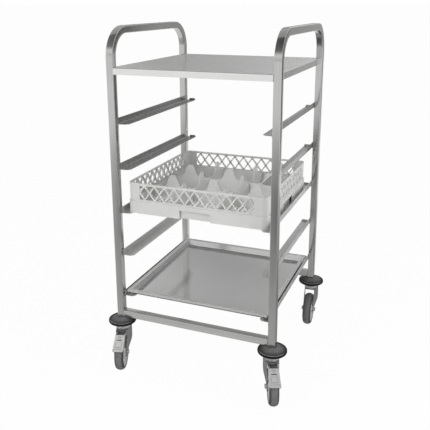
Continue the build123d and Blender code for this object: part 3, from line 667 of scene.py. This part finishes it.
def pedalEye(corner):  # eye of the pedal, a plain ring round its pin, where the pedal's path starts
    bore, outer, half = eyeLook["bore"], eyeLook["outer"], eyeLook["half"]
    profile = np.array([(-half, bore), (-half, outer), (half, outer), (half, bore)])
    piece = axleRing(corner + "PedalEye", corner, profile, pedalLook["path"][0], eyeLook["steps"], outer,
                     darkerPaintedZinc, sharp=35.0)
    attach(piece, castors[corner]["word"] + "_brake")


shoeLook = {"face": 0.0661, "from": 68.0, "to": 79.5, "half": 0.0110, "steps": 14, "under": 0.0004}


# Shoe that the pedal presses on the tyre: an arc about the tyre's own centre, from its face up to the
# underside of the plate, whose distance from the axle follows from the plate's straight line.
def brakeShoe(corner):
    look = shoeLook
    angle = np.radians(np.linspace(look["from"], look["to"], look["steps"]))[:, None]
    ridge, fold = (np.array(pedalLook["path"][k]) for k in (1, 2))
    plate = fold - ridge
    out = unit(np.array([plate[1], -plate[0]]))
    spoke = np.concatenate([-np.cos(angle), np.sin(angle)], 1)
    reach = ((ridge - axleAt) @ out + look["under"] - pedalLook["sheet"]) / (spoke @ out)[:, None]
    face = np.full_like(reach, look["face"])
    radius = np.concatenate([face, reach, reach, face], 1)
    across = np.array([-1.0, -1.0, 1.0, 1.0]) * look["half"]
    points = castorPoint(corner, across, axleAt[0] + radius * spoke[:, :1], axleAt[1] + radius * spoke[:, 1:])
    piece = gridPiece(corner + "BrakeShoe", points, angle[:, 0] * look["face"], np.arange(5) * look["half"],
                      darkerPaintedZinc, sharp=35.0, capEnds=True)
    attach(piece, castors[corner]["word"] + "_brake")


for corner in ("fl", "fr"):
    pedalShell(corner)
    pedalEye(corner)
    brakeShoe(corner)
print("pedals made")


# Bars in one piece: each is a box of eight corners, so one set of six faces serves them all.
def barsPiece(name, points):
    quads = np.array([(0, 1, 3, 2), (4, 6, 7, 5), (0, 4, 5, 1), (2, 3, 7, 6), (0, 2, 6, 4), (1, 5, 7, 3)])
    mesh = newMesh(name, points, repeatFaces(quads, len(points), points.shape[1]))
    return finishPiece(name, mesh, rackPlastic, sharp=30.0)


rackFloorLook = {"holes": 9, "split": 3, "inner": 0.237, "bar": 0.005, "wire": 0.0030, "gap": 0.001,
                 "top": 0.5831, "thick": 0.0034, "stagger": 0.00005}


# Fine mesh of the rack floor: two more bars each way in every opening of the moulded floor.
# A bar's corners are centre +- half size; one sign array of eight corners serves all bars.
def rackFloorMesh():
    look = rackFloorLook
    pitch = (2 * look["inner"] - look["bar"]) / look["holes"]
    cell = np.arange(look["holes"])[:, None] - (look["holes"] - 1) / 2
    part = np.arange(1, look["split"])[None, :] / look["split"] - 0.5
    place = ((cell + part) * pitch).ravel()
    wire, length, thick = look["wire"] / 2, look["inner"] - look["gap"], look["thick"] / 2
    height = look["top"] - thick
    centres = np.concatenate([asPoints(place, rackY, height),
                              asPoints(0.0, place + rackY, height - look["stagger"])])
    halves = np.repeat([(wire, length, thick), (length, wire, thick)], len(place), axis=0)
    signs = np.array([(x, y, z) for x in (-1, 1) for y in (-1, 1) for z in (-1, 1)], dtype=float)
    piece = barsPiece("rackFloorMesh", centres[:, None] + signs[None] * halves[:, None])
    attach(piece, "dish_rack")


rackFloorMesh()
print("rack floor made")

ribLook = {"cells": 11, "pitch": 0.037, "height": 0.050, "bar": 0.0046, "middleZ": 0.6492, "wall": 0.2442,
           "deep": 0.0040}


# Ribs that deepen the lattice of the rack's walls inwards: slanted bars from sill to rim, crossing at every
# half pitch. A bar goes from (u0, z0) to (u1, z1) on its wall; its corners are those ends -+ half its level
# width, at two depths.
def latticeRibs():
    look = ribLook
    half, rise = look["pitch"] / 2, look["height"] / 2
    centres = (np.arange(look["cells"]) - (look["cells"] - 1) / 2) * look["pitch"]
    first, last = centres[0], centres[-1]
    ends = np.concatenate([asPoints(centres[:-1], -rise, centres[1:], rise),
                           [[first - half, 0.0, first, rise], [last, -rise, last + half, 0.0]]])
    ends = np.concatenate([ends, ends * (-1.0, 1.0, -1.0, 1.0)])
    levelHalf = look["bar"] / 2 * np.hypot(half, rise) / rise
    choices = np.meshgrid([0, 1], [-1.0, 1.0], [0.0, 1.0], indexing="ij")
    atEnd, atSide, atDepth = (choice.ravel() for choice in choices)
    u = ends[:, 2 * atEnd] + atSide * levelHalf
    z = look["middleZ"] + ends[:, 2 * atEnd + 1]
    inward = look["wall"] - atDepth * look["deep"]
    walls = [asPoints(np.cos(turn) * u - np.sin(turn) * inward,
                      rackY + np.sin(turn) * u + np.cos(turn) * inward, z)
             for turn in np.arange(4) * np.pi / 2]
    piece = barsPiece("latticeRibs", np.concatenate(walls))
    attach(piece, "dish_rack")


latticeRibs()
print("lattice ribs made")

dividerLook = {"inner": 0.2364, "pitch": 0.158, "floor": 0.5832, "valley": 0.6232, "peak": 0.6697,
               "bell": 0.0205, "power": 5, "sheet": 0.0026, "columns": 260, "rows": 14}


# Divider plates: two upright plates each way whose top edge swells into a bell over each compartment.
# top(u) = valley + (peak - valley) / (1 + (|u - nearest compartment middle| / bell)^power), which is round at
# its tip and flared at its foot; a point is (u, floor to top) on each face.
def dividerPlates(name, across, node):
    look = dividerLook
    u = np.linspace(-look["inner"], look["inner"], look["columns"])
    away = u - np.clip(np.round(u / look["pitch"]), -1, 1) * look["pitch"]
    swell = 1 + np.abs(away / look["bell"]) ** look["power"]
    top = look["valley"] + (look["peak"] - look["valley"]) / swell
    share = np.linspace(0.0, 1.0, look["rows"])
    height = look["floor"] + share[:, None] * (top - look["floor"])[None]
    near, far = (asPoints(u, side * look["sheet"] / 2, height) for side in (-1, 1))
    plate = np.concatenate([near, far[::-1]])
    rows, columns = plate.shape[:2]
    points = np.stack([plate + (0.0, place * look["pitch"] / 2, 0.0) for place in (-1, 1)]).reshape(-1, 3)
    if across:
        points = points[:, [1, 0, 2]]
    side = np.arange(rows) * columns
    faces = gridQuads(rows, columns, True, False)[1].tolist()
    faces += [side.tolist(), (side + columns - 1).tolist()[::-1]]
    faces += [[corner + rows * columns for corner in each] for each in faces]
    mesh = newMesh(name, points + (0.0, rackY, 0.0), faces)
    piece = finishPiece(name, mesh, lighterPaintedDividerPlastic, sharp=40.0)
    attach(piece, "dish_rack")
    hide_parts(node)


dividerPlates("longDividers", False, "rack_long_dividers")
dividerPlates("crossDividers", True, "rack_cross_dividers")
print("dividers made")

rimLook = {"radius": 0.0022, "inset": 0.0012, "rise": -0.0008, "corner": 0.0040, "cornerSteps": 8,
           "around": 14}
# Rolled edge, rubbed by hands and racks: satin, so it takes the light evenly along its top.
rimSteel = stainlessSteel("stainless steel sheet, rolled edge, rubbed satin", {
    "follows": "UV", "grainMm": (60.0, 1.5, 20.0), "cloudMm": 60.0, "tints": ("#c4c4c4", "#e0e0df"),
    "rough": (0.30, 0.42), "bump": 0.05, "metal": 0.55})


# Rolled rim of the drip tray: a round bead carried round the edge of its flange.
# A point is path + radius * cos(turn) * outward, at the rim's height + radius * sin(turn).
def trayRim():
    look = rimLook
    low, high = (np.array(corner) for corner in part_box("drip_tray"))
    middle = (high + low) / 2
    size = (high - low - 2 * look["inset"])[:2]
    path = roundedSection(*size, look["corner"], look["cornerSteps"])
    inner = roundedSection(*(size - look["corner"]), look["corner"] / 2, look["cornerSteps"])
    outward = unit(path - inner)
    turn = circle(look["around"])
    flat = path[:, None] + look["radius"] * np.cos(turn)[None, :, None] * outward[:, None] + middle[:2]
    points = asPoints(flat[..., 0], flat[..., 1], high[2] + look["rise"] + look["radius"] * np.sin(turn))
    piece = gridPiece("trayRim", points, runLength(path, True), np.append(turn, 2 * np.pi) * look["radius"],
                      rimSteel, sharp=60.0, wrapRows=True)
    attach(piece, "drip_tray")


trayRim()
print("tray rim made")

finishes = {kind: finish for finish, kinds in (  # a kind is what follows the first word of a node's name
    (shelfSteel, "shelf"), (traySteel, "tray"), (tubeSteel, "side_frame cross_tube"),
    (lighterPaintedRailSteel, "rail_1 rail_2 rail_3"), (darkerPaintedRailSteel, "rail_4 rail_5"), (rackPlastic, "base"),
    (lighterPaintedDividerPlastic, "long_dividers cross_dividers"), (plugNylon, "tube_plug bush"), (bumperRubber, "bumper"),
    (darkerPaintedZinc, "fork"), (zincSteel, "swivel_head swivel_bearing axle brake_pin brake_pedal"),
    (hubPlastic, "hub"), (tyreRubber, "tyre")) for kind in kinds.split()}
for node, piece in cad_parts.items():
    piece.data.materials.clear()
    piece.data.materials.append(finishes[node.split("_", 1)[1]])
print("finishes on", len(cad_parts), "nodes")

studio = {"lamps": {"key": {"at": (-1.1, -3.1, 2.6), "size": 2.0, "power": 54.0},
                    "fill": {"at": (3.0, -0.9, 0.9), "size": 1.8, "power": 33.0},
                    "top": {"at": (2.0, 0.3, 2.3), "size": 1.8, "power": 8.0}},
          "aim": (0.0, 0.0, 0.6), "sky": 0.44, "paperGlow": 0.97, "paperReach": 300.0}


def standAt(at, right, back):  # a place, and the way right and the way back from there, as one matrix
    axes = np.eye(4)
    axes[:3] = np.stack([right, np.cross(back, right), back, at], -1)
    return Matrix(axes.tolist())


for name, spec in studio["lamps"].items():  # square soft boxes, aimed at the trolley
    lampData = bpy.data.lights.new(name + "Lamp", "AREA")
    lampData.size = spec["size"]
    lampData.energy = spec["power"]
    lamp = newObject(name + "Lamp", lampData)
    back = unit(np.subtract(spec["at"], studio["aim"]))
    lamp.matrix_world = standAt(spec["at"], unit(np.cross((0.0, 0.0, 1.0), back)), back)
    lamp.visible_glossy = False


def seenDirectly(tree):  # 1 for rays from the camera, off shiny surfaces or through clear ones, else 0
    path = addNode(tree, "LightPath")
    seen = addNode(tree, "Math", {"operation": "MAXIMUM"},
                   {0: path.outputs["Is Camera Ray"], 1: path.outputs["Is Glossy Ray"]})
    return addNode(tree, "Math", {"operation": "MAXIMUM"}, {0: seen, 1: path.outputs["Is Transmission Ray"]})


pureWhite = linearColour("#ffffff")
world = bpy.data.worlds.new("white studio")
scene.world = world
world.use_nodes = True
sky = world.node_tree
sky.nodes.clear()
dim = addNode(sky, "Background", {"Color": linearColour("#f6f6f6"), "Strength": studio["sky"]})
white = addNode(sky, "Background", {"Color": pureWhite, "Strength": 1.0})
both = addNode(sky, "MixShader", links={0: seenDirectly(sky), 1: dim, 2: white})
addNode(sky, "OutputWorld", links={"Surface": both})


def stageSheet(name, corners, material):  # four corners of a flat sheet that isn't part of the object
    mesh = newMesh(name, corners, [(0, 1, 2, 3)])
    mesh.materials.append(material)
    sheet = newObject(name, mesh)
    return sheet


def upright(left, right, low, high):  # corners of a card that stands on the line from left to right
    return [(*left, low), (*right, low), (*right, high), (*left, high)]


def level(height, *corners):  # corners of a card that lies at one height
    return [(x, y, height) for x, y in corners]


# Studio floor: white paper, lit by itself for the camera and for reflections, so only a faint shadow stays.
paperMaterial, paperTree = newMaterial("paper floor, white")
share = addNode(paperTree, "Math", {"operation": "MULTIPLY", 1: studio["paperGlow"]},
                {0: seenDirectly(paperTree)})
paper = addNode(paperTree, "BsdfDiffuse", {"Color": linearColour("#f4f4f4")})
glow = addNode(paperTree, "Emission", {"Color": pureWhite, "Strength": 1.0})
closeMaterial(paperTree, addNode(paperTree, "MixShader", links={0: share, 1: paper, 2: glow}))
far = studio["paperReach"]
stageSheet("paperFloor", level(0.0, (-far, -far), (far, -far), (far, far), (-far, far)), paperMaterial)

low, high = 0.002, 3.5  # heights of the cards on the floor and of those overhead
back = 3.6  # how far back the wall of cards stands
# Grey cards, seen only in reflections: corners, centre, brightness at the centre and change per metre away.
flags = {
    # The front floor card is painted shadow, where the people and the camera in front shade the floor.
    "frontFloorShadow": (level(low, (-6, -8), (6, -8), (6, -0.42), (-6, -0.42)), (0.0, -2.1, 0.0), 0.235, 0.23),
    "sideFloor": (level(low, (0.22, -0.42), (5, -0.42), (5, 2.4), (0.62, 1.8)),
                  (0.47, 0.45, 0.0), 0.24, 0.21),
    # The card under the trolley is the trolley's painted shadow on the floor, as reflections see it.
    "underFloorShadow": (level(low, (-0.6, -0.42), (0.21, -0.42), (0.40, 0.6), (-0.6, 0.6)),
                   (0.0, 0.0, 0.0), 0.42, 0.20),
    "sideWall": (upright((1.10, 2.33), (1.56, 2.23), 0.0, 1.3), (1.8, 2.2, 0.3), 0.06, 0.08),
    "glanceWall": (upright((1.56, 2.23), (4.4, 1.6), 0.0, 1.3), (1.8, 2.2, 0.4), 0.36, 0.10),
    "lowWall": (upright((0.8, back), (4, back), 0.0, 0.75), (1.75, back, 0.45), 0.36, 0.30),
    "handleWall": (upright((0.6, back), (4, back), 0.75, 1.32), (1.4, back, 1.0), 0.43, 0.05),
    "backWall": (upright((0.6, back), (4, back), 1.32, high), (1.52, back, 1.45), 0.05, 1.2),
    "shelfWall": (upright((-5, back), (0.6, back), 0.75, 1.55), (-2.4, back, 1.5), 0.34, 0.060),
    "railWall": (upright((-5, back), (0.6, back), 1.55, 1.75), (-2.1, back, 1.59), 0.20, 0.5),
    "trayWall": (upright((-5, back), (0.6, back), 1.75, 2.5), (-1.2, back, 1.2), 0.21, 0.31),
    "upperWall": (upright((-5, back), (0.6, back), 2.5, high), (-1.7, back, 2.6), 0.32, 0.02),
    "pedalGlow": (level(0.19, (-0.36, -0.47), (0.42, -0.47), (0.42, -0.30), (-0.36, -0.30)),
                  (-0.28, -0.38, 0.19), 0.80, -0.22),
    "frontWall": (upright((-6, -8.2), (6, -8.2), 1.4, 3.0), (0.0, -8.2, 1.8), 0.80, 0.0),
    "apronWall": ([(1.45, 3.59, 0.50), (1.45, 3.59, 0.63), (0.93, 3.59, 0.84), (0.93, 3.59, 0.70)],
                  (1.2, back, 0.66), 0.18, 0.0),
    "ceiling": (level(high, (-6, -3.3), (6, -3.3), (6, -0.2), (-6, -0.2)), (0.0, -1.0, high), 0.10, 0.06),
    "ceilingBack": (level(high, (-6, -0.2), (6, -0.2), (6, 4), (-6, 4)), (0.0, -1.0, high), 0.40, 0.06),
    "ceilingEdge": (level(high, (-6, -5.2), (6, -5.2), (6, -3.3), (-6, -3.3)), (0.0, 8.0, high), -3.49, 0.33),
}
for name, (corners, centre, near, perMetre) in flags.items():
    cardMaterial, cardTree = newMaterial("card, " + name)
    place = addNode(cardTree, "TexCoord")
    away = addNode(cardTree, "VectorMath", {"operation": "DISTANCE", 1: centre}, {0: place.outputs["Object"]})
    glow = addNode(cardTree, "Math", {"operation": "MULTIPLY_ADD", 1: perMetre, 2: near},
                   {0: away.outputs["Value"]})
    glow = addNode(cardTree, "Math", {"operation": "MINIMUM", 1: 1.0}, {0: glow})
    light = addNode(cardTree, "Emission", links={"Strength": glow})
    if name == "pedalGlow":  # shines downwards only, and is clear from above
        facing = addNode(cardTree, "NewGeometry")
        clear = addNode(cardTree, "BsdfTransparent")
        light = addNode(cardTree, "MixShader", links={0: facing.outputs["Backfacing"], 1: clear, 2: light})
    closeMaterial(cardTree, light)
    card = stageSheet(name + "Card", corners, cardMaterial)
    card.visible_camera = False
    card.visible_diffuse = False
    card.visible_shadow = False
print("studio set")

# The lens is fitted to the photo; focal length and centre row are in the photo's pixels, angles in degrees.
lens = {"at": (0.76518, -2.00618, 1.27349), "yaw": 21.648, "pitch": 14.764, "roll": -0.171,
        "focalPx": 611.56, "centreRow": 163.0, "frame": 430.0, "sensorMm": 36.0}
yaw, pitch, roll = np.radians([lens["yaw"], lens["pitch"], lens["roll"]])
ahead = np.array([-np.sin(yaw) * np.cos(pitch), np.cos(yaw) * np.cos(pitch), -np.sin(pitch)])
unrolled = np.array([np.cos(yaw), np.sin(yaw), 0.0])
right = unrolled * np.cos(roll) + np.cross(unrolled, ahead) * np.sin(roll)
cameraData = bpy.data.cameras.new("photoCamera")
cameraData.sensor_width = lens["sensorMm"]
cameraData.lens = lens["focalPx"] / lens["frame"] * lens["sensorMm"]
cameraData.shift_y = (lens["centreRow"] - lens["frame"] / 2) / lens["frame"]
camera = newObject("photoCamera", cameraData)
camera.matrix_world = standAt(lens["at"], right, -ahead)
scene.camera = camera
scene.view_settings.view_transform = "Standard"
